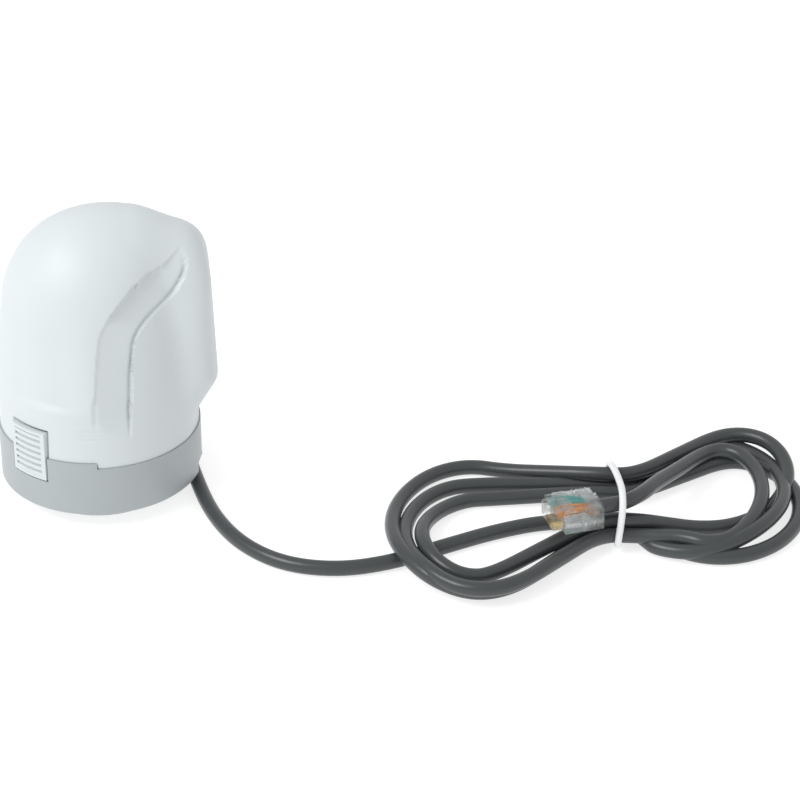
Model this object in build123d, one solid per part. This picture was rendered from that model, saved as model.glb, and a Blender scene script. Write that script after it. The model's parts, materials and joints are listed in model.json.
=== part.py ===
from build123d import *
from math import acos, atan2, cos, degrees, pi, radians, sin, tan
import os

# Millimetres. Z is up, the table is z = 0, the valve axis is the Z axis and the release latch faces -Y.

# Base ring and hood
RING_R = 22.0
RING_WALL = 1.8
RING_Z = 3.5
FLOOR_Z = 5.5
SEAM_Z = 15.1
SEAM_STEP = 1.3
STEP_AZ = (12.5, 42.5)
HOOD_R = 21.75
HOOD_WALL = 1.7
BAND_DEPTH = 0.9

# The hood's own frame has its symmetry plane on x = 0 and its front towards -y
HOOD_TURN = -44.0

# Crown: radius and height, from the end of the straight wall to the top
CROWN = ((19.7, 46.0), (18.5, 51.5), (16.0, 56.2), (12.4, 60.4), (7.0, 64.3), (0.0, 66.2))

# Swept side band: front edge and rear edge from below, as y and z
BAND_FRONT = (
    (-2.9, 20.0),
    (-2.7, 29.3),
    (-2.2, 36.1),
    (-1.5, 44.8),
    (-0.7, 49.0),
    (1.1, 52.1),
    (4.0, 54.2),
    (6.1, 55.8),
    (10.3, 57.4),
    (14.2, 59.0),
    (16.0, 60.6),
    (16.8, 63.0),
)
BAND_REAR = (
    (4.2, 20.0),
    (4.8, 24.1),
    (5.4, 28.5),
    (6.3, 35.1),
    (6.8, 41.7),
    (7.3, 45.9),
    (8.5, 48.6),
    (10.6, 50.6),
    (13.1, 52.2),
    (15.6, 53.2),
    (17.4, 54.9),
    (18.5, 57.4),
    (18.4, 60.0),
    (17.8, 63.0),
)

# Rear bulge: half width and side view from the chin up
BULGE_HALF = 12.4
BULGE_SIDE = (
    (10.0, 21.2),
    (21.3, 21.2),
    (25.9, 28.4),
    (25.1, 51.5),
    (24.6, 56.0),
    (23.2, 58.4),
    (20.0, 60.4),
    (15.0, 62.4),
    (10.0, 63.4),
)

# Valve collar, M30 x 1.5
BORE_R = 14.25
COLLAR_R = 16.2
COLLAR_TOP = 10.0
CROWN_TOP = 11.8

# Plunger
PISTON_R = 4.5
PISTON_Z = (10.4, 18.0)
ROD_R = 2.0
ROD_TOP = 31.0
RUN_FIT = 0.06

# Decks
DECK_Z = (18.5, 20.0)
DECK_R = 19.3
COVER_Z = (32.2, 33.7)
COVER_R = 18.3
POSTS = ((-13.0, -10.0), (-15.0, 8.0), (4.0, -16.0))

# Gears
MODULE = 0.4
PINION_TEETH = 12
WHEEL_TEETH = 30
SPINDLE_TEETH = 48
ADDENDUM = 0.75 * MODULE
DEDENDUM = 0.98 * MODULE
THINNING = 0.09
SPINDLE_CENTRES = MODULE * (SPINDLE_TEETH + PINION_TEETH) / 2
WHEEL_CENTRES = MODULE * (WHEEL_TEETH + PINION_TEETH) / 2
GEAR_TWO_TURN = 0.0
GEAR_ONE_TURN = 110.0
MOTOR_TURN = 175.0
AXLE_R = 0.75

# Motor
MOTOR_R = 6.0
MOTOR_TOP = 52.0
SHAFT_R = 0.5
BOARD_TOP = 50.5

# Latch
LATCH_HALF = 4.7
LATCH_Z = (11.0, 22.4)
LATCH_OUT = 22.15
LATCH_IN = 20.7
LATCH_GAP = 0.35
LATCH_RIBS = 7

# Cord: route points chosen by hand, the same ones that the look uses
CORD_D = 3.3
CORD_Z = CORD_D / 2
ROUTE = (
    (8.7, 17.2, 3.4),
    (20.0, 9.0, CORD_Z),
    (33.0, 0.6, CORD_Z),
    (45.0, -3.6, CORD_Z),
    (56.5, -3.4, CORD_Z),
    (66.5, 2.2, CORD_Z),
    (73.2, 11.4, CORD_Z),
)
GLAND_LENGTH = 5.0
GLAND_R = 2.5

# Hank
HANK_TOP = 7.6
HANK_OUTLINE = (
    (91.5, 66.5),
    (83.0, 65.0),
    (67.0, 58.0),
    (57.5, 50.0),
    (54.8, 40.0),
    (58.3, 27.5),
    (68.5, 13.0),
    (77.5, 7.8),
    (87.0, 6.6),
    (96.5, 10.5),
    (101.0, 19.0),
    (103.2, 32.0),
    (106.0, 45.0),
    (121.0, 51.0),
    (130.5, 60.0),
    (132.2, 73.0),
    (126.0, 89.0),
    (115.0, 97.5),
    (104.0, 100.4),
    (96.5, 93.5),
    (93.8, 80.0),
)
TIE_MID = (98.8, 57.0)
TIE_TURN = -53.0
TIE_LENGTH = 24.6
TIE_WIDTH = 1.4
TIE_THICK = 0.9

# Plug, 6-position
PLUG_MID = (99.2, 41.4)
PLUG_TURN = 55.7
PLUG_LENGTH = 13.4
PLUG_WIDTH = 9.65
PLUG_HEIGHT = 6.6
CONTACT_PITCH = 1.02


def disc(radius, low, high, x=0.0, y=0.0):
    return Pos(x, y, low) * Cylinder(radius, high - low, align=(Align.CENTER, Align.CENTER, Align.MIN))


def tube(outer, inner, low, high, x=0.0, y=0.0):
    return disc(outer, low, high, x, y) - disc(inner, low - 1, high + 1, x, y)


def block(x, y, z):
    middle = Pos((x[0] + x[1]) / 2, (y[0] + y[1]) / 2, (z[0] + z[1]) / 2)
    return middle * Box(x[1] - x[0], y[1] - y[0], z[1] - z[0])


def sector(start, end, low, high):
    reach = 2 * RING_R
    corners = [(0, 0)]
    for turn in (start, end):
        corners.append((reach * sin(radians(turn)), -reach * cos(radians(turn))))
    outline = make_face(Polyline(*corners, close=True))
    return Pos(0, 0, low) * extrude(outline, amount=high - low)


def side_prism(points, half=30.0):
    outline = make_face(Polyline(*[(0, y, z) for y, z in points], close=True))
    return extrude(outline, amount=half, dir=(1, 0, 0)) + extrude(outline, amount=half, dir=(-1, 0, 0))


def write(shape, name):
    export_step(shape, f"parts/{name}.step")


def crown_points(inset):
    curve = Spline(*CROWN)
    points = []
    for step in range(8):
        along = curve % (step / 8)
        place = curve @ (step / 8)
        points.append((place.X - inset * along.Y, place.Y + inset * along.X))
    return points + [(0.0, CROWN[-1][1] - inset)]


def dome(inset):
    crown = crown_points(inset)
    wall = Line((HOOD_R - inset, SEAM_Z), crown[0])
    top = Spline(*crown, tangents=[wall % 1, (-1, 0)])
    foot = (0, SEAM_Z)
    outline = wall + top + Line(crown[-1], foot) + Line(foot, (HOOD_R - inset, SEAM_Z))
    return revolve(Plane.XZ * make_face(outline), Axis.Z)


def bulge(inset):
    outline = make_face(Polyline(*BULGE_SIDE, close=True))
    if inset:
        outline = offset(outline, -inset)
    sides = extrude(Plane.YZ * outline, amount=BULGE_HALF - inset, both=True)
    low, high = sides.faces().sort_by(Axis.X)[0], sides.faces().sort_by(Axis.X)[-1]
    return fillet(low.edges() + high.edges(), 3.0 - inset / 2)


def hood_solid(inset):
    return dome(inset) + bulge(inset)


def latch_opening():
    edge = LATCH_HALF + LATCH_GAP
    low, high = LATCH_Z
    return block((-edge, edge), (-RING_R - 2, -LATCH_IN + 3), (low - LATCH_GAP, high + LATCH_GAP))


def seam_steps():
    start, end = STEP_AZ
    right = sector(start, end, SEAM_Z, SEAM_Z + SEAM_STEP)
    left = sector(-end, -start, SEAM_Z, SEAM_Z + SEAM_STEP)
    return right + left


def housing_shell():
    outer = hood_solid(0.0)
    band = side_prism(BAND_FRONT + BAND_REAR[::-1])
    outer = outer - (band - hood_solid(BAND_DEPTH))
    inner = hood_solid(HOOD_WALL) + disc(HOOD_R - HOOD_WALL, SEAM_Z - 1, SEAM_Z)
    shell = Rot(0, 0, HOOD_TURN) * (outer - inner)
    return shell - seam_steps() - latch_opening()


def base_ring():
    ring = tube(RING_R, RING_R - RING_WALL, RING_Z, SEAM_Z)
    rim = ring.faces().sort_by(Axis.Z)[0].edges().sort_by(SortBy.RADIUS)[-1]
    ring = chamfer(rim, 0.5)
    ring += tube(RING_R, RING_R - RING_WALL, SEAM_Z, SEAM_Z + SEAM_STEP) & seam_steps()
    ring += tube(RING_R - RING_WALL, COLLAR_R, RING_Z, FLOOR_Z)
    for side in (-1, 1):
        ring -= disc(1.7, RING_Z - 1, 4.9, side * 18.2)
        ring -= disc(0.8, RING_Z, FLOOR_Z + 1, side * 18.2)
    return ring - latch_opening() - cord_channel()


def cord_heading():
    return degrees(atan2(ROUTE[1][1] - ROUTE[0][1], ROUTE[1][0] - ROUTE[0][0]))


def along_exit(shape):
    return Pos(*ROUTE[0]) * Rot(0, 0, cord_heading()) * shape


def cord_channel():
    return along_exit(block((-GLAND_LENGTH - 0.2, 13.0), (-2.7, 2.7), (-3.0, 2.8)))


def cable_gland():
    barrel = Rot(0, 90, 0) * Cylinder(GLAND_R, GLAND_LENGTH, align=(Align.CENTER, Align.CENTER, Align.MAX))
    saddle = block((-GLAND_LENGTH, -1.2), (-2.4, 2.4), (0.0, 2.7))
    return along_exit(barrel + saddle)


def valve_adapter():
    collar = tube(COLLAR_R, BORE_R, 0, COLLAR_TOP)
    crown = tube(COLLAR_R, 5.6, COLLAR_TOP, CROWN_TOP)
    return collar + crown


def output_plunger():
    tip = fillet(disc(PISTON_R, *PISTON_Z).edges().sort_by(Axis.Z)[0], 0.8)
    rod = disc(ROD_R, PISTON_Z[1], ROD_TOP)
    keys = block((-5.6, 5.6), (-0.8, 0.8), (16.2, 17.8))
    return tip + rod + keys


def skirt():
    wall = tube(19.2, 17.6, FLOOR_Z, DECK_Z[0])
    wall -= block((-6.2, 6.2), (-25, 0), (FLOOR_Z - 1, DECK_Z[0] + 1))
    wall -= along_exit(block((-7, 20), (-3.2, 3.2), (-3, 4)))
    for side in (-1, 1):
        wall += disc(1.7, FLOOR_Z, DECK_Z[0], side * 18.2)
        wall -= disc(0.8, FLOOR_Z - 1, 12.0, side * 18.2)
    return wall


def chassis():
    deck = disc(DECK_R, *DECK_Z) - disc(ROD_R + 0.3, DECK_Z[0] - 1, DECK_Z[1] + 1)
    deck -= block((-6.2, 6.2), (-25, -17.4), (DECK_Z[0] - 1, DECK_Z[1] + 1))
    guide = tube(7.0, PISTON_R + RUN_FIT, CROWN_TOP, DECK_Z[0])
    guide -= block((-5.9, 5.9), (-0.9, 0.9), (CROWN_TOP - 1, DECK_Z[0]))
    frame = deck + guide + skirt()
    for centre in (GEAR_ONE_AT, GEAR_TWO_AT):
        frame -= disc(AXLE_R, DECK_Z[1] - 1.0, DECK_Z[1] + 1.0, *centre)
    for x, y in POSTS:
        frame += disc(1.4, DECK_Z[1], COVER_Z[0], x, y)
    return frame


def polar(start, turn, reach):
    return (start[0] + reach * cos(radians(turn)), start[1] + reach * sin(radians(turn)))


SPINDLE_AT = (0.0, 0.0)
GEAR_TWO_AT = polar(SPINDLE_AT, GEAR_TWO_TURN, SPINDLE_CENTRES)
GEAR_ONE_AT = polar(GEAR_TWO_AT, GEAR_ONE_TURN, WHEEL_CENTRES)
MOTOR_AT = polar(GEAR_ONE_AT, MOTOR_TURN, WHEEL_CENTRES)


def involute(angle):
    return tan(angle) - angle


def tooth_half_angle(radius, pitch_r):
    pressure = radians(20)
    base_r = pitch_r * cos(pressure)
    here = acos(min(1.0, base_r / max(radius, base_r)))
    return (pi * MODULE / 2 - THINNING) / (2 * pitch_r) + involute(pressure) - involute(here)


def toothed(teeth, turn, low, high, centre):
    """A spur gear with a tooth centred on the direction turn, in degrees."""
    pitch_r = MODULE * teeth / 2
    low_r = pitch_r - DEDENDUM
    high_r = pitch_r + ADDENDUM
    radii = [low_r + (high_r - low_r) * step / 5 for step in range(6)]
    flank = [(r, tooth_half_angle(r, pitch_r)) for r in radii]
    points = []
    for tooth in range(teeth):
        middle = radians(turn) + 2 * pi * tooth / teeth
        points += [(r * cos(middle - half), r * sin(middle - half)) for r, half in flank]
        points += [(r * cos(middle + half), r * sin(middle + half)) for r, half in reversed(flank)]
    face = make_face(Polyline(*points, close=True))
    return Pos(centre[0], centre[1], low) * extrude(face, amount=high - low)


def gap_turn(teeth, turn):
    return turn + 180.0 + 180.0 / teeth


def spindle_gear():
    hub = disc(3.2, DECK_Z[1] + 0.3, 31.9)
    journal = disc(2.9, 31.9, COVER_Z[1] - 0.2)
    wheel = toothed(SPINDLE_TEETH, GEAR_TWO_TURN, 22.0, 25.0, SPINDLE_AT)
    return wheel + hub + journal - disc(ROD_R + RUN_FIT, 15, 40)


def compound(centre, pinion, wheel):
    x, y = centre
    arbor = disc(1.5, DECK_Z[1] + 0.3, COVER_Z[0] - 0.3, x, y)
    return arbor + pinion + wheel - disc(AXLE_R + RUN_FIT, 15, 40, x, y)


def gear_two():
    pinion = toothed(PINION_TEETH, gap_turn(PINION_TEETH, GEAR_TWO_TURN), 21.8, 25.4, GEAR_TWO_AT)
    wheel = toothed(WHEEL_TEETH, GEAR_ONE_TURN, 26.0, 28.0, GEAR_TWO_AT)
    return compound(GEAR_TWO_AT, pinion, wheel)


def gear_one():
    pinion = toothed(PINION_TEETH, gap_turn(PINION_TEETH, GEAR_ONE_TURN), 25.8, 28.4, GEAR_ONE_AT)
    wheel = toothed(WHEEL_TEETH, MOTOR_TURN, 29.0, 31.0, GEAR_ONE_AT)
    return compound(GEAR_ONE_AT, pinion, wheel)


def motor_pinion():
    pinion = toothed(PINION_TEETH, gap_turn(PINION_TEETH, MOTOR_TURN), 28.8, 31.6, MOTOR_AT)
    return pinion + disc(SHAFT_R, 31.6, 38.0, *MOTOR_AT)


def axle(centre):
    return disc(AXLE_R, DECK_Z[1] - 1.0, COVER_Z[1], *centre)


def gear_cover():
    plate = disc(COVER_R, *COVER_Z) - disc(2.9 + RUN_FIT, 30, 40)
    plate -= disc(1.2, 30, 40, *MOTOR_AT)
    for centre in (GEAR_ONE_AT, GEAR_TWO_AT):
        plate -= disc(AXLE_R, 30, 40, *centre)
    plate += block((-15.0, -13.0), (-9.0, -6.0), (COVER_Z[1], COVER_Z[1] + 4.0)) & disc(COVER_R, 30, 40)
    return plate


def motor_can():
    can = fillet(disc(MOTOR_R, COVER_Z[1], MOTOR_TOP, *MOTOR_AT).edges().sort_by(Axis.Z)[0], 0.8)
    return can - disc(SHAFT_R + RUN_FIT, 30, 39.0, *MOTOR_AT)


def motor_cap():
    x, y = MOTOR_AT
    cap = disc(MOTOR_R - 0.3, MOTOR_TOP, MOTOR_TOP + 1.4, x, y)
    cap += disc(1.8, MOTOR_TOP + 1.4, MOTOR_TOP + 2.6, x, y)
    for side in (-1, 1):
        middle = x + 3.6 * side
        cap += block((middle - 0.2, middle + 0.2), (y - 0.9, y + 0.9), (MOTOR_TOP + 1.2, MOTOR_TOP + 3.6))
    return cap


def circuit_board():
    board = block((-12.8, 12.8), (-10.0, -8.6), (COVER_Z[1], BOARD_TOP))
    for x in (-11.0, 11.0):
        board -= Pos(x, -9.3, BOARD_TOP - 2.5) * Rot(90, 0, 0) * Cylinder(0.9, 4)
    return board


def board_chip():
    body = block((-3.5, 3.5), (-11.2, -10.0), (43.5, 48.5))
    for side in (-1, 1):
        for step in range(4):
            x = -2.4 + 1.6 * step
            z = 46.0 + side * 2.9
            body += block((x - 0.25, x + 0.25), (-10.4, -10.0), (z - 0.6, z + 0.6))
    return body


def board_relay():
    return fillet(block((2.2, 10.2), (-14.0, -10.0), (35.0, 41.5)).edges(), 0.4)


def board_socket():
    shell = block((-11.5, -4.0), (-13.8, -10.0), (35.0, 40.0))
    return shell - block((-10.9, -4.6), (-13.2, -10.6), (36.0, 41.0))


def housing_screw(side):
    x = side * 18.2
    head = disc(1.6, RING_Z + 0.1, 4.9, x) - block((x - 1.0, x + 1.0), (-0.22, 0.22), (RING_Z, 4.2))
    return head + disc(0.8, 4.9, 11.5, x)


def release_latch():
    plate = tube(LATCH_OUT - 0.45, LATCH_IN, *LATCH_Z)
    window = block((-LATCH_HALF, LATCH_HALF), (-RING_R - 2, -LATCH_IN + 2), LATCH_Z)
    button = plate & window
    border = tube(LATCH_OUT, LATCH_IN, *LATCH_Z) & window
    low, high = LATCH_Z
    border -= block((-LATCH_HALF + 1.0, LATCH_HALF - 1.0), (-RING_R - 2, 0), (low + 0.7, high - 0.7))
    button += border
    pitch = (LATCH_Z[1] - LATCH_Z[0] - 1.0) / LATCH_RIBS
    for row in range(LATCH_RIBS):
        low = LATCH_Z[0] + 0.75 + pitch * row
        rib = tube(LATCH_OUT, LATCH_IN, low, low + pitch * 0.55)
        button += rib & block((-LATCH_HALF + 0.6, LATCH_HALF - 0.6), (-RING_R - 2, -LATCH_IN + 2), (0, 40))
    return button


def locking_slide():
    neck = block((-3.0, 3.0), (-20.2, -12.0), (12.3, 15.0)) - disc(LATCH_IN - 9.2, 10, 20)
    foot = block((-3.0, 3.0), (-21.2, -20.0), (12.3, 21.0)) & disc(LATCH_IN, 10, 30)
    pip = Cylinder(0.6, 1.0, align=(Align.CENTER, Align.CENTER, Align.MAX))
    return neck + foot + Pos(0, -12.0, 13.6) * Rot(90, 0, 0) * pip


def latch_spring():
    coil = Helix(pitch=1.15, height=4.2, radius=1.1)
    section = Plane(origin=coil @ 0, z_dir=coil % 0) * Circle(0.2)
    wire = sweep(section, path=coil, is_frenet=True)
    return Pos(0, -7.25, 13.6) * Rot(90, 0, 0) * wire


def bend_radii(points):
    radii = []
    for a, b, c in zip(points, points[1:], points[2:]):
        before = Vector(*b) - Vector(*a)
        after = Vector(*c) - Vector(*b)
        turn = radians(before.get_angle(after))
        radii.append(0.45 * min(before.length, after.length) / tan(turn / 2))
    return radii


def cord_tube(points):
    radii = bend_radii(points)
    print("bend radii", [round(r, 1) for r in radii])
    path = FilletPolyline(*points, radius=radii)
    section = Plane(origin=points[0], z_dir=Vector(*points[1]) - Vector(*points[0])) * Circle(CORD_D / 2)
    solid = sweep(section, path=path)
    print("tube volume", round(solid.volume, 1), "expected", round(path.length * pi * CORD_D**2 / 4, 1))
    return solid


def at_plug(shape):
    return Pos(PLUG_MID[0], PLUG_MID[1], HANK_TOP + PLUG_HEIGHT / 2) * Rot(0, 0, PLUG_TURN) * shape


def tail_route():
    rear = polar(PLUG_MID, PLUG_TURN, PLUG_LENGTH / 2)
    middle = polar(rear, PLUG_TURN, 5.6)
    end = polar(middle, PLUG_TURN - 8, 5.4)
    z = HANK_TOP + PLUG_HEIGHT / 2
    return ((rear[0], rear[1], z), (middle[0], middle[1], z - 1.0), (end[0], end[1], z - 3.4))


def at_tie(shape):
    return Pos(*TIE_MID, 0) * Rot(0, 0, TIE_TURN) * shape


def tie_core():
    """What the tie goes round: the hank's waist, lifted by the tie under it."""
    height = HANK_TOP - TIE_THICK
    outline = Rot(90, 0, 0) * RectangleRounded(TIE_LENGTH, height, 3.0)
    return at_tie(Pos(0, 0, TIE_THICK + height / 2) * extrude(outline, amount=TIE_WIDTH, both=True))


def tie_slab():
    height = HANK_TOP + TIE_THICK
    outline = Rot(90, 0, 0) * RectangleRounded(TIE_LENGTH + 2 * TIE_THICK, height, 3.0 + TIE_THICK)
    return at_tie(Pos(0, 0, height / 2) * extrude(outline, amount=TIE_WIDTH / 2, both=True))


def hank_tie():
    return tie_slab() - tie_core()


def hank_solid():
    outline = make_face(Spline(*HANK_OUTLINE, periodic=True))
    hank = extrude(outline, amount=HANK_TOP)
    slot = at_tie(block((-25, 25), (-TIE_WIDTH / 2, TIE_WIDTH / 2), (-1, HANK_TOP + 1)))
    return hank - (slot - tie_core())


def plug_body():
    half = (PLUG_LENGTH / 2, PLUG_WIDTH / 2, PLUG_HEIGHT / 2)
    body = block((-half[0] + 2.4, half[0]), (-half[1], half[1]), (-half[2], half[2]))
    body += block((-half[0], -half[0] + 2.4), (-half[1] + 0.5, half[1] - 0.5), (-half[2], half[2] - 1.6))
    body -= block((-half[0] + 5.4, half[0] + 1), (-3.4, 3.4), (-half[2] + 1.0, half[2] - 1.0))
    for place in range(6):
        y = (place - 2.5) * CONTACT_PITCH
        body -= block((-half[0] - 1, -half[0] + 3.2), (y - 0.25, y + 0.25), (-half[2] - 1, -half[2] + 1.9))
    return at_plug(body)


def plug_contacts():
    blades = []
    nose = -PLUG_LENGTH / 2
    low = -PLUG_HEIGHT / 2 + 0.2
    for place in range(4):
        y = (place - 1.5) * CONTACT_PITCH
        blades.append(block((nose + 0.3, nose + 3.0), (y - 0.16, y + 0.16), (low, low + 1.5)))
    return at_plug(Compound(blades))


def plug_wires():
    wires = []
    for place in range(4):
        y = (place - 1.5) * CONTACT_PITCH
        wire = Rot(0, 90, 0) * Cylinder(0.45, 5.0, align=(Align.CENTER, Align.CENTER, Align.MIN))
        wires.append(Pos(-PLUG_LENGTH / 2 + 5.6, y, 0.2) * wire)
    return at_plug(Compound(wires))


def plug_tab():
    tab = block((-PLUG_LENGTH / 2 + 2.6, PLUG_LENGTH / 2 + 0.6), (-3.0, 3.0), (0, 0.9))
    return at_plug(Pos(0, 0, PLUG_HEIGHT / 2) * tab)


def cord_parts():
    hank = hank_solid()
    tie = hank_tie()
    write(cord_tube(ROUTE) - hank - cable_gland(), "cable")
    write(cord_tube(tail_route()) - hank - tie - tie_core(), "cable_tail")
    write(hank, "cable_hank")
    write(tie, "hank_tie")


def main():
    os.makedirs("parts", exist_ok=True)
    cord_parts()
    write(housing_shell(), "housing_shell")
    write(base_ring(), "base_ring")
    write(cable_gland(), "cable_gland")
    write(valve_adapter(), "valve_adapter")
    write(tube(5.6, PISTON_R + RUN_FIT, 10.5, 11.6), "wiper_seal")
    write(output_plunger(), "output_plunger")
    write(chassis(), "chassis")
    write(tube(4.6, ROD_R + 0.3, DECK_Z[1], DECK_Z[1] + 0.24), "thrust_washer")
    write(spindle_gear(), "spindle_gear")
    write(gear_two(), "gear_two")
    write(gear_one(), "gear_one")
    write(motor_pinion(), "motor_pinion")
    write(axle(GEAR_ONE_AT), "axle_one")
    write(axle(GEAR_TWO_AT), "axle_two")
    write(gear_cover(), "gear_cover")
    write(motor_can(), "motor_can")
    write(motor_cap(), "motor_cap")
    write(circuit_board(), "circuit_board")
    write(board_chip(), "board_chip")
    write(board_relay(), "board_relay")
    write(board_socket(), "board_socket")
    write(housing_screw(-1), "housing_screw_0")
    write(housing_screw(1), "housing_screw_1")
    write(release_latch(), "release_latch")
    write(locking_slide(), "locking_slide")
    write(latch_spring(), "latch_spring")
    write(plug_body(), "plug_body")
    write(plug_contacts(), "plug_contacts")
    write(plug_wires(), "plug_wires")
    write(plug_tab(), "plug_tab")


main()
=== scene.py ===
import json
from math import cos, radians, sin

import bpy
import numpy as np
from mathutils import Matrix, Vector


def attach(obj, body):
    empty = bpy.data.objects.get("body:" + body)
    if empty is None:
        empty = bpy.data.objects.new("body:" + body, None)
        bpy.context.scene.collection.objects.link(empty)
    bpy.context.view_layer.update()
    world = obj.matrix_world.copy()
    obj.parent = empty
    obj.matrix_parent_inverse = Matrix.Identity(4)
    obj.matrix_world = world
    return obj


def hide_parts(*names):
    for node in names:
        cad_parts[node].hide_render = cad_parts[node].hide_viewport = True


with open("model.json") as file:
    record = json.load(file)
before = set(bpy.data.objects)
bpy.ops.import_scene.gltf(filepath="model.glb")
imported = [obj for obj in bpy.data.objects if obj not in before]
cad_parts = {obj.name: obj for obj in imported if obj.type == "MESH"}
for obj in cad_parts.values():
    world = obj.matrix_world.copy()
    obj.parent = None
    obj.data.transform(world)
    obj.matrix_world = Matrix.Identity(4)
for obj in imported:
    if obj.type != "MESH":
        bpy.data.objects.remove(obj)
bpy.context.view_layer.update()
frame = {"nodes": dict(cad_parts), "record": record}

MM = 0.001
NODES = frame["nodes"]

# Small rounding of the moulded edges, in millimetres, where two faces meet at more than SOFT_ANGLE.
SOFT_EDGES = {"base_ring": 0.3, "release_latch": 0.2}
SOFT_ANGLE = 35
BEVEL_STEPS = 2

# Camera: a long lens, looking down at the standing actuator from its front right.
CAMERA_AT = (0.4076, -0.3989, 0.3482)
CAMERA_TURN = 39.0
CAMERA_DOWN = 30.12
CAMERA_LENS = 135.0
CAMERA_SENSOR = 36.0
CAMERA_NEAR = 0.01

# Studio, in metres and watts: an even glow from sky and floor, and one large soft lamp.
GLOW = 0.74
FLOOR_SIZE = 6
FLOOR_MID = (0.07, 0.03, 0)
FLOOR_COLOUR = (0.4, 0.4, 0.4)
FLOOR_ROUGH = 0.9
KEY_AT = (-0.18, -0.46, 0.62)
KEY_AIM = (0.05, 0.03, 0.02)
KEY_SIZE = (0.45, 0.3)
KEY_WATTS = 3.1

# Moulded surfaces: flow marks in the colour, grain in the gloss and, in metres, in the relief.
FLOW_SCALE = 55.0
FLOW_DETAIL = 4.0
FLOW_ENDS = (0.3, 0.7)
GRAIN_DETAIL = 3.0
GRAIN_GLOSS = (0.88, 1.12)
GRAIN_HEIGHT = 0.0002
# Metal: streaks along one axis in the colour, the gloss and, in metres, the relief.
STREAK_SCALE = 260.0
STREAK_DETAIL = 5.0
STREAK_STRETCH = (1, 1, 12)
STREAK_DARK = 0.85
STREAK_GLOSS = (0.75, 1.3)
STREAK_BUMP = 0.05
STREAK_HEIGHT = 0.0001

# Cord, in millimetres. ROUTE repeats the points of part.py, and TO_TIE goes on from there.
CORD_D = 3.3
CORD_Z = CORD_D / 2
CORD_STEPS = 10
CORD_SIDES = 8
ROUTE = (
    (8.7, 17.2, 3.4),
    (20.0, 9.0, CORD_Z),
    (33.0, 0.6, CORD_Z),
    (45.0, -3.6, CORD_Z),
    (56.5, -3.4, CORD_Z),
    (66.5, 2.2, CORD_Z),
    (73.2, 11.4, CORD_Z),
)
TO_TIE = (
    (77.5, 22.0, CORD_Z),
    (83.0, 35.0, CORD_Z),
    (89.6, 45.5, CORD_Z),
)
TIE_MID = (98.8, 57.0)
HANK_TURN = 36.0
# Strands run side by side under the tie, this far to each side of it.
STRAIGHT = 4.0

# Each lobe of the hank: ellipse centre, half sizes and tilt in the hank's own frame, then the arc
# that the cord follows round it, in degrees.
RIGHT_LOBES = {
    "low": dict(centre=(22.5, 3.5), half=(16.8, 20.0), tilt=-15, arc=(-112, 100)),
    "back": dict(centre=(22.0, 12.4), half=(14.2, 18.4), tilt=-30.8, arc=(-72, 125)),
    "wide": dict(centre=(18.7, 7.1), half=(17.3, 23.4), tilt=-13, arc=(-108, 108)),
    "top": dict(centre=(20.9, 4.0), half=(10.2, 18.8), tilt=-8.7, arc=(-115, 112)),
}
LEFT_LOBES = {
    "inner": dict(centre=(-29.9, -11.4), half=(11.5, 15.7), tilt=-10.9, arc=(92, 300)),
    "outer": dict(centre=(-31.0, -7.8), half=(17.2, 25.2), tilt=1.2, arc=(66, 300)),
    "middle": dict(centre=(-29.7, -12.6), half=(15.5, 22.3), tilt=6.9, arc=(80, 298)),
}
# The cord's order through the hank, and where each strand passes the tie: (across, height).
TURNS = (
    ("low", (-4.6, 2.5), (7.0, 2.5), "inner"),
    ("back", (-8.8, 5.5), (10.0, 5.3), "outer"),
    ("wide", (-8.0, 1.9), (10.8, 2.2), "middle"),
    ("top", (-11.4, 3.3), None, None),
)
# Humps where a strand rides over another: (angle on the lobe, width, height).
HUMPS = {
    "inner": ((216, 45, 3.0),),
    "outer": ((216, 40, 3.0),),
    "middle": ((216, 40, 3.0), (290, 35, 2.8)),
    "low": (),
    "back": ((90, 60, 3.3),),
    "wide": ((-30, 48, 3.0),),
    "top": ((-105, 32, 2.4), (-20, 62, 3.2), (90, 60, 3.0)),
}
ARC_POINTS = 9
# The last strand climbs over the others to the plug, in the hank's own frame.
PLUG_TAIL = (
    (12.5, 9.3, 7.0),
    (7.7, 0.8, 8.9),
    (5.2, -4.7, 9.8),
    (1.2, -9.2, 10.2),
    (-2.5, -10.6, 10.2),
    (-4.4, -11.3, 10.2),
    (-6.5, -12.0, 10.2),
)
TIE_LOOP = (
    (-1.6, 13.2, 3.0),
    (-1.9, 12.8, 6.0),
    (-1.5, 10.0, 8.2),
    (-0.5, 4.0, 9.6),
    (0.2, -3.0, 11.4),
    (0.6, -9.5, 13.4),
    (0.8, -12.8, 11.2),
    (0.4, -13.8, 6.8),
    (0.0, -13.8, 2.8),
    (0.0, -12.2, 0.8),
    (0.0, -5.0, 0.75),
    (-0.5, 5.0, 0.75),
    (-1.2, 12.0, 0.8),
)
TIE_D = 1.5

# Plug: centre and turn as in part.py, and its clear blocks: along, across and height, from and to.
PLUG_MID = (99.2, 41.4)
PLUG_TURN = 55.7
PLUG_BLOCKS = (
    ((-4.3, 4.4), (-4.75, 4.75), (7.7, 12.3)),
    ((-6.7, -4.3), (-3.7, 3.7), (8.4, 11.9)),
    ((-4.3, -1.6), (-4.2, 4.2), (12.3, 12.9)),
    ((1.5, 4.0), (-3.9, 3.9), (12.3, 12.8)),
    ((4.4, 5.0), (-2.6, 2.6), (8.3, 12.2)),
)
PLUG_BEVEL = 0.09
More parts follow.
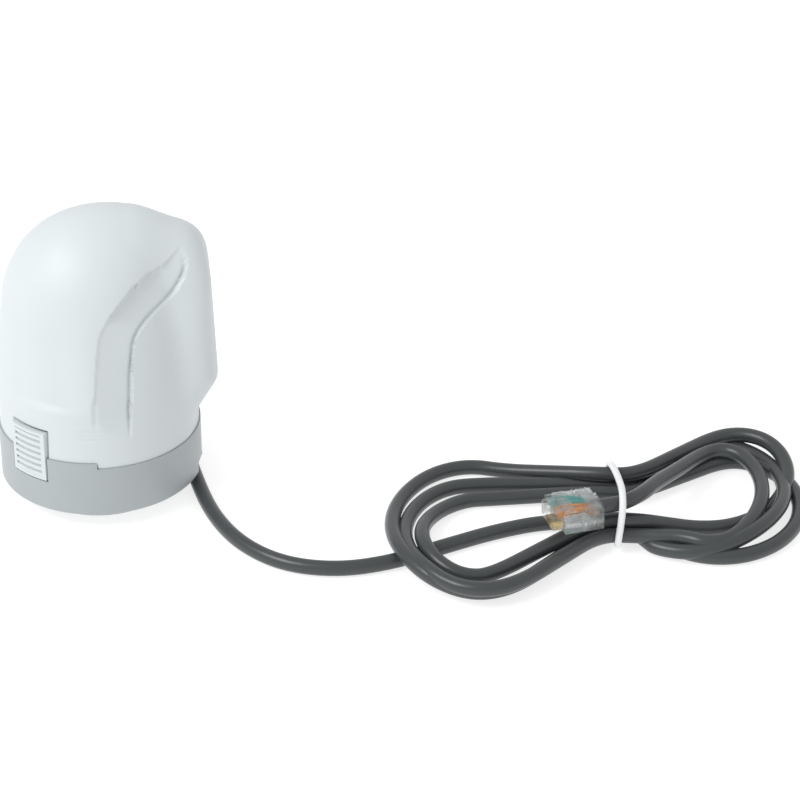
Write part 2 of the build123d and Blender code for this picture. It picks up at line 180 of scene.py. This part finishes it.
# The comb between the contacts, and the cross walls that grip the cord's jacket.
COMB = dict(
    along=(-6.3, -2.4),
    places=(-3.0, -1.8, -0.6, 0.6, 1.8, 3.0),
    thick=0.3,
    height=(12.0, 13.3),
)
GRIP = dict(
    places=(0.2, 1.2, 2.2, 3.2),
    thick=0.3,
    across=(2.3, 4.6),
    height=(8.4, 12.7),
)
# Wires inside the plug, and their path as (along, spacing, height).
WIRES = 4
WIRE_D = 1.25
WIRE_STEPS = 6
WIRE_SIDES = 4
WIRE_PATH = (
    (-5.4, 1.75, 11.3),
    (-3.4, 1.8, 11.8),
    (-1.0, 1.75, 11.8),
    (1.2, 1.35, 11.4),
    (2.6, 0.85, 10.5),
    (3.4, 0.8, 10.2),
)

# Hood, in its own frame: x to the side, y to the back, z up, turned about z.
HOOD_TURN = -44.0
SEAM_Z = 15.1
SEAM_STEP = 1.3
STEP_END = 42.5
LATCH_EDGE = 5.25
LATCH_R = 21.6
LATCH_TURN = np.degrees(np.arcsin(LATCH_EDGE / LATCH_R))
LATCH_TOP = 23.0
HOOD_WALL = 1.7
# Height, half width, half length and middle along y.
SECTIONS = (
    (14.0, 21.75, 21.75, 0.0),
    (30.0, 20.95, 20.95, 0.0),
    (40.0, 20.2, 20.2, 0.0),
    (46.0, 19.6, 19.7, 0.1),
    (49.0, 19.0, 19.3, 0.3),
    (52.0, 18.0, 18.6, 0.6),
    (55.0, 16.5, 17.6, 1.0),
    (58.0, 14.4, 16.2, 1.6),
    (61.0, 11.5, 14.0, 2.3),
    (63.5, 8.0, 10.8, 2.9),
    (65.2, 4.4, 6.8, 3.0),
    (66.0, 0.6, 1.6, 3.0),
)
CROWN_TOP = SECTIONS[-1][0]
# The sections are spread over these heights (from, to, step) and smoothed over steps of them.
FINE_Z = (6.0, 74.0, 0.1)
SMOOTH_REACH = 40
SMOOTH_WIDTH = 14.0
LEAST_SQUARE = 0.04
STEEPEST = -6.0
BULGE_HALF = 12.4
BULGE_FROM = 9.0
# Planes of the bulge's side view: a point (y, z) and the outward direction.
BULGE_CHIN = ((21.3, 21.0), (0.843, -0.538))
BULGE_BACK = ((25.9, 28.4), (0.9993, 0.037))
BULGE_TOP = ((20.0, 61.4), (0.287, 0.958))
BULGE_ARCH = 0.05
# How softly the bulge's planes run into each other and into the crown.
BLEND_CHIN = 0.8
BLEND_TOP = 6.5
BLEND_SIDES = 6.0
BLEND_FRONT = 3.0
BLEND_CROWN = 2.2
# Scooped front: where it sets in and ends, by turn from the hood's front and by height.
SCOOP_DEPTH = 1.05
SCOOP_TURN = (14.0, 40.0, 62.0, 86.0)
SCOOP_Z = (27.4, 29.4, 36.0, 54.0)
# Fine lines above the seam, on one side.
LINES_Z = (22.0, 22.9, 23.8)
LINES_TURN = (74.0, 77.0, 99.0, 104.0)
LINE_DEPTH = 0.12
LINE_WIDTH = 0.2
# The band swept up each side: its front and rear edges as (y, z), seen from the side.
BAND_FRONT = (
    (-3.6, 14.0),
    (-3.1, 22.6),
    (-2.7, 28.3),
    (-1.8, 34.0),
    (-1.2, 40.5),
    (-0.4, 45.8),
    (0.6, 47.9),
    (1.7, 49.5),
    (3.3, 51.3),
    (5.0, 52.9),
    (6.6, 54.1),
    (7.8, 55.1),
    (9.9, 56.1),
    (12.1, 56.9),
    (14.3, 57.9),
    (16.3, 59.1),
    (17.6, 60.0),
    (18.4, 60.9),
    (18.6, 67.0),
)
BAND_REAR = (
    (6.6, 14.0),
    (6.9, 20.9),
    (7.1, 28.0),
    (7.5, 35.0),
    (8.0, 39.0),
    (8.4, 42.0),
    (8.9, 43.8),
    (9.7, 45.1),
    (10.9, 46.2),
    (12.4, 47.3),
    (14.0, 48.3),
    (15.4, 49.2),
    (16.7, 50.1),
    (17.8, 51.2),
    (18.9, 52.8),
    (19.9, 54.6),
    (20.4, 56.2),
    (20.3, 57.8),
    (19.7, 59.3),
    (19.0, 60.3),
    (18.6, 61.2),
    (18.6, 67.0),
)
# Flat facets of the band's floor: outward direction (x, y, z) and distance from the axis' foot.
FACET_SIDE = ((0.955, 0.29, 0.055), 21.1)
FACET_LIGHT = ((0.851, 0.393, 0.347), 33.6)
FACET_WEDGE = ((0.96, 0.15, 0.21), 23.9)
FACET_BLEND = 0.25
FLOOR_BLEND = 0.3
BAND_BLEND = 0.25
# The band's least depth, which fades towards its top, and the wall at each edge.
BAND_DEPTH = 0.45
BAND_FADE = (56.5, 60.5)
FRONT_WALL = 1.3
REAR_WALL = 0.75
WALL_LIFT = 4.0
# The band runs out above the seam.
FOOT_Z = (20.0, 27.0)
FOOT_LIFT = 1.7
# The groove inside its rear edge.
GROOVE_DEPTH = 0.5
GROOVE_FADE = (54.0, 58.5)
GROOVE_IN = 0.95
GROOVE_WIDTH = 0.38

# Mesh of the hood: columns by turn in degrees, closer together over the band's rear edge.
COLUMN_STEP = 1.0
REAR_TURN = 108.0
REAR_REACH = (7.0, 17.0)
REAR_STEP = 0.3
REAR_GAP = 0.4
# Rows: by height to the latch's top and to RISE_Z, then by rise in degrees from the axis at RISE_Z.
LOW_ROWS = 27
MID_ROWS = 33
RISE_Z = 32.0
RISE_END = 89.2
RISE_ROWS = 170
# The skin is searched for by halving, from the axis out to here.
SEARCH_TO = 48.0
SEARCH_STEPS = 22
TOUCH = 0.01
TINY = 1e-12


def placed(middle, turn, along, across, height):
    """A point along and across something that lies turned on the table."""
    turn = radians(turn)
    x = middle[0] + along * cos(turn) - across * sin(turn)
    y = middle[1] + along * sin(turn) + across * cos(turn)
    return (x, y, height)


def hank_point(along, across, height):
    return placed(TIE_MID, HANK_TURN, along, across, height)


def plug_point(along, across, height):
    return placed(PLUG_MID, PLUG_TURN, along, across, height)


def between(a, b, share):
    return tuple(p + (q - p) * share for p, q in zip(a, b))


def bell(value, width):
    return np.exp(-((value / width) ** 2))


def hump_height(name, angle):
    height = 0.0
    for middle, width, rise in HUMPS[name]:
        off = (angle - middle + 180) % 360 - 180
        height += rise * bell(off, width)
    return height


def lobe_points(name, lobe, start, end):
    """One half turn: from the strand start at the tie, round the lobe's ellipse, back to the strand end."""
    side = 1 if lobe["centre"][0] > 0 else -1
    first, last = lobe["arc"]
    tilt = radians(lobe["tilt"])
    step = (last - first) / (ARC_POINTS - 1)
    swell = 1 / cos(radians(step) / 2)
    round_end = []
    for index in range(ARC_POINTS):
        angle = radians(first + step * index)
        x = lobe["half"][0] * cos(angle) * swell
        y = lobe["half"][1] * sin(angle) * swell
        along = lobe["centre"][0] + x * cos(tilt) - y * sin(tilt)
        across = lobe["centre"][1] + x * sin(tilt) + y * cos(tilt)
        round_end.append((along, across, CORD_Z + hump_height(name, first + step * index)))
    points = [(side * STRAIGHT, *start)]
    points.append(between(points[0], round_end[0], 0.5))
    points += round_end
    if end:
        points.append(between((side * STRAIGHT, *end), round_end[-1], 0.5))
        points.append((side * STRAIGHT, *end))
    return [hank_point(*p) for p in points]


def cord_route():
    points = [*ROUTE, *TO_TIE]
    for number, (right, lower, upper, left) in enumerate(TURNS):
        points += lobe_points(right, RIGHT_LOBES[right], lower, upper)
        if left:
            next_lower = TURNS[number + 1][1]
            points += lobe_points(left, LEFT_LOBES[left], upper, next_lower)
    points += [hank_point(*p) for p in PLUG_TAIL]
    return points


def new_curve(name, diameter, sides, *materials):
    """A round curve with no strand yet."""
    data = bpy.data.curves.new(name, "CURVE")
    data.dimensions = "3D"
    for material in materials:
        data.materials.append(material)
    data.bevel_depth = diameter / 2 * MM
    data.bevel_resolution = sides
    data.use_fill_caps = True
    piece = bpy.data.objects.new(name, data)
    bpy.context.scene.collection.objects.link(piece)
    return piece


def add_strand(piece, points, steps, cyclic=False):
    """A smooth strand with these points, in millimetres, as its control points."""
    spline = piece.data.splines.new("NURBS")
    spline.points.add(len(points) - 1)
    for slot, point in zip(spline.points, points):
        slot.co = (*(Vector(point) * MM), 1.0)
    spline.order_u = 3
    spline.use_endpoint_u = not cyclic
    spline.use_cyclic_u = cyclic
    spline.resolution_u = steps
    return spline


def plug_wires(looks):
    """Insulated wires fanned out under the plug's clear top, half of them in each colour."""
    piece = new_curve("plug_strands", WIRE_D, WIRE_SIDES, looks["wire_coat"], looks["wire_teal"])
    for number in range(WIRES):
        place = number - (WIRES - 1) / 2
        points = [plug_point(along, place * spread, height) for along, spread, height in WIRE_PATH]
        strand = add_strand(piece, points, WIRE_STEPS)
        strand.material_index = 1 if place > 0 else 0
    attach(piece, "housing")
    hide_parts("plug_wires")
    return piece


def plug_blocks():
    """The stepped body, the comb and the cross walls."""
    blocks = list(PLUG_BLOCKS)
    half = COMB["thick"] / 2
    for place in COMB["places"]:
        blocks.append((COMB["along"], (place - half, place + half), COMB["height"]))
    half = GRIP["thick"] / 2
    inner, outer = GRIP["across"]
    for place in GRIP["places"]:
        along = (place - half, place + half)
        blocks.append((along, (inner, outer), GRIP["height"]))
        blocks.append((along, (-outer, -inner), GRIP["height"]))
    return blocks


def plug_shell(material):
    vertices, faces = [], []
    for (back, front), (low, high), (foot, head) in plug_blocks():
        base = len(vertices)
        for along in (back, front):
            corners = ((low, foot), (high, foot), (high, head), (low, head))
            vertices += [Vector(plug_point(along, across, height)) * MM for across, height in corners]
        sides = ((0, 3, 2, 1), (4, 5, 6, 7), (0, 1, 5, 4), (1, 2, 6, 5), (2, 3, 7, 6), (3, 0, 4, 7))
        faces += [tuple(base + k for k in face) for face in sides]
    piece = mesh_piece("plug_shell", vertices, faces, material, smooth=False)
    edge = piece.modifiers.new("edge", "BEVEL")
    edge.width = PLUG_BEVEL * MM
    edge.segments = BEVEL_STEPS
    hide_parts("plug_body", "plug_tab")
    return piece


def smoothstep(low, high, value):
    share = np.clip((value - low) / (high - low), 0.0, 1.0)
    return share * share * (3 - 2 * share)


def window(limits, value):
    """Rises from 0 to 1 between the first two limits and falls again between the last two."""
    return smoothstep(*limits[:2], value) * (1 - smoothstep(*limits[2:], value))


def smooth_max(a, b, soft):
    blend = np.clip(soft - np.abs(a - b), 0.0, None) / soft
    return np.maximum(a, b) + blend * blend * soft / 4


def smooth_min(a, b, soft):
    return -smooth_max(-a, -b, soft)


def past_curve(curve, y, z):
    """How far a point lies behind a rising line of the side view; negative in front of it."""
    points = np.array(curve)
    nearest = np.full_like(y, np.inf)
    ahead = np.zeros(y.shape, bool)
    for (ay, az), (by, bz) in zip(points, points[1:]):
        dy, dz = by - ay, bz - az
        share = np.clip(((y - ay) * dy + (z - az) * dz) / (dy * dy + dz * dz), 0.0, 1.0)
        nearest = np.minimum(nearest, np.hypot(y - ay - share * dy, z - az - share * dz))
        crosses = (az > z) != (bz > z)
        ahead ^= crosses & (y < ay + (z - az) / (dz + TINY) * dy)
    return np.where(ahead, -nearest, nearest)


def hood_recess(x, y, z):
    """How deep the scooped front and the fine lines lie below the plain body, in millimetres."""
    turn = np.degrees(np.abs(np.arctan2(x, -y)))
    depth = SCOOP_DEPTH * window(SCOOP_TURN, turn) * window(SCOOP_Z, z)
    lines = window(LINES_TURN, turn) * (x > 0)
    for height in LINES_Z:
        depth += LINE_DEPTH * lines * bell(z - height, LINE_WIDTH)
    return depth


def plane(facet, x, y, z):
    (nx, ny, nz), distance = facet
    return nx * x + ny * y + nz * z - distance


def side_plane(edge, y, z):
    (py, pz), (ny, nz) = edge
    return (y - py) * ny + (z - pz) * nz


def band(body, x, y, z):
    """Cuts the faceted band into each side: creased at its front edge, stepped at its rear edge."""
    side = np.abs(x)
    facing = smooth_min(plane(FACET_LIGHT, side, y, z), plane(FACET_WEDGE, side, y, z), FACET_BLEND)
    floor = smooth_max(plane(FACET_SIDE, side, y, z), facing, FLOOR_BLEND)
    floor = np.maximum(floor, body + BAND_DEPTH * (1 - smoothstep(*BAND_FADE, z)))
    front = past_curve(BAND_FRONT, y, z)
    rear = -past_curve(BAND_REAR, y, z)
    foot = smoothstep(*FOOT_Z, z)
    groove = GROOVE_DEPTH * foot * (1 - smoothstep(*GROOVE_FADE, z))
    floor = floor + groove * bell(rear - GROOVE_IN, GROOVE_WIDTH)
    share = smoothstep(0.0, FRONT_WALL, front) * smoothstep(0.0, REAR_WALL, rear)
    return smooth_max(body, floor - WALL_LIFT * (1 - share) - FOOT_LIFT * (1 - foot), BAND_BLEND)


def fine_sections():
    """The sections at fine steps of height, smoothed so that no ring shows in the crown."""
    rough = np.array(SECTIONS)
    heights = np.arange(*FINE_Z)
    last, before = rough[-1], rough[-2]
    beyond = (heights - last[0]) / (last[0] - before[0])
    kernel = bell(np.arange(-SMOOTH_REACH, SMOOTH_REACH + 1), SMOOTH_WIDTH)
    kernel /= kernel.sum()
    smooth = []
    for column, power in ((1, 2), (2, 2), (3, 1)):
        line = np.interp(heights, rough[:, 0], rough[:, column] ** power)
        if power == 2:
            ahead = last[column] ** 2 + (last[column] ** 2 - before[column] ** 2) * beyond
            line = np.where(heights > last[0], ahead, line)
        line = np.convolve(np.pad(line, SMOOTH_REACH, mode="edge"), kernel, mode="valid")
        smooth.append(np.sqrt(np.clip(line, LEAST_SQUARE, None)) if power == 2 else line)
    lean = np.sqrt(1 + np.clip(np.gradient(smooth[0], heights), STEEPEST, 0.0) ** 2)
    return (heights, *smooth, lean)


FINE = fine_sections()


def hood_field(x, y, z):
    """Below zero inside the hood."""
    wide, long, middle, lean = (np.interp(z, FINE[0], values) for values in FINE[1:])
    level = np.sqrt((x / wide) ** 2 + ((y - middle) / long) ** 2)
    body = (level - 1) * wide / lean
    body = np.where(z > CROWN_TOP, z - CROWN_TOP + body, body)
    behind = smooth_max(side_plane(BULGE_CHIN, y, z), side_plane(BULGE_BACK, y, z), BLEND_CHIN)
    behind = smooth_max(behind, side_plane(BULGE_TOP, y, z) + BULGE_ARCH * x * x, BLEND_TOP)
    box = smooth_max(np.abs(x) - BULGE_HALF, behind, BLEND_SIDES)
    box = smooth_max(box, BULGE_FROM - y, BLEND_FRONT)
    body = smooth_min(body, box, BLEND_CROWN) + hood_recess(x, y, z)
    return band(body, x, y, z)


def hood_columns():
    """Turns round the valve axis from the latch, with a column on each edge of the latch and the seam."""
    turns = np.arange(-180.0, 180.0, COLUMN_STEP)
    for side in (1, -1):
        middle = side * REAR_TURN + HOOD_TURN
        before, after = REAR_REACH[::side]
        fine = np.arange(middle - before, middle + after, REAR_STEP)
        apart = (turns < fine[0] - REAR_GAP) | (turns > fine[-1] + REAR_GAP)
        turns = np.concatenate([turns[apart], fine])
    turns = np.sort(turns)
    for special in (LATCH_TURN, STEP_END):
        for sign in (-1, 1):
            turns[np.argmin(np.abs(turns - sign * special))] = sign * special
    return turns


def hood_shape():
    """Columns of the hood's skin by turn, and rows from the seam to the top."""
    turns = hood_columns()
    raised = np.abs(turns) < STEP_END + TOUCH
    foot = np.where(raised, SEAM_Z + SEAM_STEP, SEAM_Z)[:, None]
    low = foot + (LATCH_TOP - foot) * np.linspace(0, 1, LOW_ROWS)[None, :]
    mid = np.broadcast_to(np.linspace(LATCH_TOP, RISE_Z, MID_ROWS)[1:], (len(turns), MID_ROWS - 1))
    heights = np.concatenate([low, mid], axis=1)
    rises = np.radians(np.linspace(0, RISE_END, RISE_ROWS)[1:])
    fan = (len(turns), len(rises))
    local = np.radians(turns - HOOD_TURN)[:, None]
    level = np.ones_like(heights)
    out = np.concatenate([level, np.broadcast_to(np.cos(rises), fan)], axis=1)
    climb = np.concatenate([level * 0, np.broadcast_to(np.sin(rises), fan)], axis=1)
    base = np.concatenate([heights, np.full(fan, RISE_Z)], axis=1)
    dx, dy = np.sin(local) * out, -np.cos(local) * out
    near, far = np.zeros_like(out), np.full_like(out, SEARCH_TO)
    for _ in range(SEARCH_STEPS):
        half = (near + far) / 2
        inside = hood_field(half * dx, half * dy, base + half * climb) < 0
        near, far = np.where(inside, half, near), np.where(inside, far, half)
    x, y, z = near * dx, near * dy, base + near * climb
    turn = radians(HOOD_TURN)
    return turns, np.stack([x * cos(turn) - y * sin(turn), x * sin(turn) + y * cos(turn), z], axis=-1)


def mesh_piece(name, vertices, faces, material, smooth=True):
    data = bpy.data.meshes.new(name)
    data.from_pydata([tuple(v) for v in vertices], [], faces)
    data.materials.append(material)
    data.polygons.foreach_set("use_smooth", [smooth] * len(data.polygons))
    data.update()
    piece = bpy.data.objects.new(name, data)
    bpy.context.scene.collection.objects.link(piece)
    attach(piece, "housing")
    return piece


def hood(material):
    turns, skin = hood_shape()
    columns, rows = skin.shape[:2]
    vertices = (skin.reshape(-1, 3) * MM).tolist()
    top = len(vertices)
    vertices.append((skin[:, -1].mean(axis=0) * MM).tolist())
    faces = []
    for c in range(columns):
        n = (c + 1) % columns
        middle = (turns[c] + turns[n]) / 2 if n else 180.0
        in_latch = abs(middle) < LATCH_TURN
        for r in range(rows - 1):
            if in_latch and skin[c, r + 1, 2] < LATCH_TOP + TOUCH:
                continue
            faces.append((c * rows + r, n * rows + r, n * rows + r + 1, c * rows + r + 1))
        faces.append((c * rows + rows - 1, n * rows + rows - 1, top))
    piece = mesh_piece("hood", vertices, faces, material)
    wall = piece.modifiers.new("wall", "SOLIDIFY")
    wall.thickness = HOOD_WALL * MM
    wall.offset = -1
    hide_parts("housing_shell")
    return piece


def new_material(name):
    material = bpy.data.materials.new(name)
    material.use_nodes = True
    tree = material.node_tree
    return material, tree, tree.nodes["Principled BSDF"]


def noise(tree, place, scale, detail):
    texture = tree.nodes.new("ShaderNodeTexNoise")
    texture.inputs["Scale"].default_value = scale
    texture.inputs["Detail"].default_value = detail
    tree.links.new(place, texture.inputs["Vector"])
    return texture.outputs["Fac"]


def tint(tree, shader, source, dark, light, ends=(0.0, 1.0)):
    ramp = tree.nodes.new("ShaderNodeValToRGB")
    for element, end, colour in zip(ramp.color_ramp.elements, ends, (dark, light)):
        element.position = end
        element.color = (*colour, 1)
    tree.links.new(source, ramp.inputs["Fac"])
    tree.links.new(ramp.outputs["Color"], shader.inputs["Base Color"])


def gloss(tree, shader, source, low, high):
    spread = tree.nodes.new("ShaderNodeMapRange")
    spread.inputs["To Min"].default_value = low
    spread.inputs["To Max"].default_value = high
    tree.links.new(source, spread.inputs["Value"])
    tree.links.new(spread.outputs["Result"], shader.inputs["Roughness"])


def relief(tree, shader, source, strength, height):
    node = tree.nodes.new("ShaderNodeBump")
    node.inputs["Strength"].default_value = strength
    node.inputs["Distance"].default_value = height
    tree.links.new(source, node.inputs["Height"])
    tree.links.new(node.outputs["Normal"], shader.inputs["Normal"])


def moulded(name, colour, rough, mottle=0.04, grain=900.0, bump=0.03, **more):
    """Moulded plastic or rubber: faint flow marks in the colour, fine grain in the gloss and the surface."""
    material, tree, shader = new_material(name)
    place = tree.nodes.new("ShaderNodeTexCoord").outputs["Object"]
    dark = [c * (1 - mottle) for c in colour]
    light = [min(1.0, c * (1 + mottle / 2)) for c in colour]
    tint(tree, shader, noise(tree, place, FLOW_SCALE, FLOW_DETAIL), dark, light, FLOW_ENDS)
    fine = noise(tree, place, grain, GRAIN_DETAIL)
    low, high = GRAIN_GLOSS
    gloss(tree, shader, fine, rough * low, min(1.0, rough * high))
    relief(tree, shader, fine, bump, GRAIN_HEIGHT)
    for key, value in more.items():
        shader.inputs[key.replace("_", " ")].default_value = value
    return material


def metal(name, colour, rough):
    """Drawn or turned metal: streaks along one axis in the colour, the gloss and the surface."""
    material, tree, shader = new_material(name)
    place = tree.nodes.new("ShaderNodeTexCoord").outputs["Object"]
    squeeze = tree.nodes.new("ShaderNodeMapping")
    squeeze.inputs["Scale"].default_value = STREAK_STRETCH
    tree.links.new(place, squeeze.inputs["Vector"])
    streaks = noise(tree, squeeze.outputs["Vector"], STREAK_SCALE, STREAK_DETAIL)
    tint(tree, shader, streaks, [c * STREAK_DARK for c in colour], colour)
    low, high = STREAK_GLOSS
    gloss(tree, shader, streaks, rough * low, rough * high)
    relief(tree, shader, streaks, STREAK_BUMP, STREAK_HEIGHT)
    shader.inputs["Metallic"].default_value = 1.0
    return material


def materials():
    return {
        "hood_white": moulded("hood_white", (0.63, 0.676, 0.688), 0.46, mottle=0.012, bump=0.03),
        "ring_grey": moulded("ring_grey", (0.385, 0.42, 0.43), 0.42, mottle=0.05, bump=0.06),
        "cord_grey": moulded("cord_grey", (0.052, 0.058, 0.061), 0.3, mottle=0.10, grain=1500.0, bump=0.05),
        "tie_white": moulded("tie_white", (0.86, 0.88, 0.88), 0.35, mottle=0.03, bump=0.03),
        "clear_plug": moulded("clear_plug", (0.86, 0.9, 0.9), 0.06, mottle=0.1, bump=0.02,
                              Alpha=0.46, Transmission_Weight=0.85, IOR=1.45),
        "contact_gold": metal("contact_gold", (0.83, 0.6, 0.26), 0.22),
        "wire_coat": moulded("wire_coat", (0.62, 0.23, 0.03), 0.4),
        "wire_teal": moulded("wire_teal", (0.03, 0.33, 0.31), 0.4),
        "inner_plastic": moulded("inner_plastic", (0.72, 0.72, 0.68), 0.5),
        "gear_acetal": moulded("gear_acetal", (0.85, 0.83, 0.76), 0.38),
        "dark_plastic": moulded("dark_plastic", (0.022, 0.023, 0.026), 0.45, mottle=0.2),
        "steel": metal("steel", (0.55, 0.55, 0.56), 0.3),
        "board_green": moulded("board_green", (0.012, 0.11, 0.04), 0.35, mottle=0.25),
        "seal_black": moulded("seal_black", (0.012, 0.012, 0.013), 0.65, mottle=0.2),
    }


def soften_edges():
    for name, width in SOFT_EDGES.items():
        edge = NODES[name].modifiers.new("edge", "BEVEL")
        edge.width = width * MM
        edge.segments = BEVEL_STEPS
        edge.limit_method = "ANGLE"
        edge.angle_limit = radians(SOFT_ANGLE)
        edge.harden_normals = True


def dress_nodes(looks):
    for part in frame["record"]["subparts"]:
        slots = NODES[part["node"]].material_slots
        for slot in slots:
            slot.material = looks[part["material_slot"]]


def picture():
    """Plain sRGB tones, so that the white floor stays white."""
    bpy.context.scene.view_settings.view_transform = "Standard"


def camera():
    data = bpy.data.cameras.new("camera")
    data.lens = CAMERA_LENS
    data.sensor_width = CAMERA_SENSOR
    data.clip_start = CAMERA_NEAR
    shot = bpy.data.objects.new("camera", data)
    shot.location = CAMERA_AT
    shot.rotation_euler = (radians(90 - CAMERA_DOWN), 0, radians(CAMERA_TURN))
    bpy.context.scene.collection.objects.link(shot)
    bpy.context.scene.camera = shot


def floor():
    bpy.ops.mesh.primitive_plane_add(size=FLOOR_SIZE, location=FLOOR_MID)
    ground = bpy.context.object
    ground.name = "floor"
    ground.data.materials.append(
        moulded("floor_white", FLOOR_COLOUR, FLOOR_ROUGH, mottle=0.0, bump=0.0,
                Emission_Color=(1, 1, 1, 1), Emission_Strength=GLOW))


def key_light():
    data = bpy.data.lights.new("key", "AREA")
    data.shape = "RECTANGLE"
    data.size, data.size_y = KEY_SIZE
    data.energy = KEY_WATTS
    lamp = bpy.data.objects.new("key", data)
    lamp.location = KEY_AT
    aim = Vector(KEY_AIM) - Vector(KEY_AT)
    lamp.rotation_euler = aim.to_track_quat("-Z", "Y").to_euler()
    bpy.context.scene.collection.objects.link(lamp)


def lights():
    world = bpy.data.worlds.new("studio")
    world.use_nodes = True
    background = world.node_tree.nodes["Background"]
    background.inputs["Color"].default_value = (1, 1, 1, 1)
    background.inputs["Strength"].default_value = GLOW
    bpy.context.scene.world = world
    key_light()


def cord(looks):
    points = cord_route()
    piece = new_curve("cord", CORD_D, CORD_SIDES, looks["cord_grey"])
    add_strand(piece, points, CORD_STEPS)
    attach(piece, "housing")
    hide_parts("cable", "cable_hank", "cable_tail")
    tie = new_curve("tie", TIE_D, CORD_SIDES, looks["tie_white"])
    add_strand(tie, [hank_point(*p) for p in TIE_LOOP], CORD_STEPS, cyclic=True)
    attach(tie, "housing")
    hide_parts("hank_tie")
    plug = [NODES["plug_contacts"], plug_wires(looks), plug_shell(looks["clear_plug"])]


LOOKS = materials()
picture()
camera()
floor()
lights()
dress_nodes(LOOKS)
soften_edges()
cord(LOOKS)
hood(LOOKS["hood_white"])
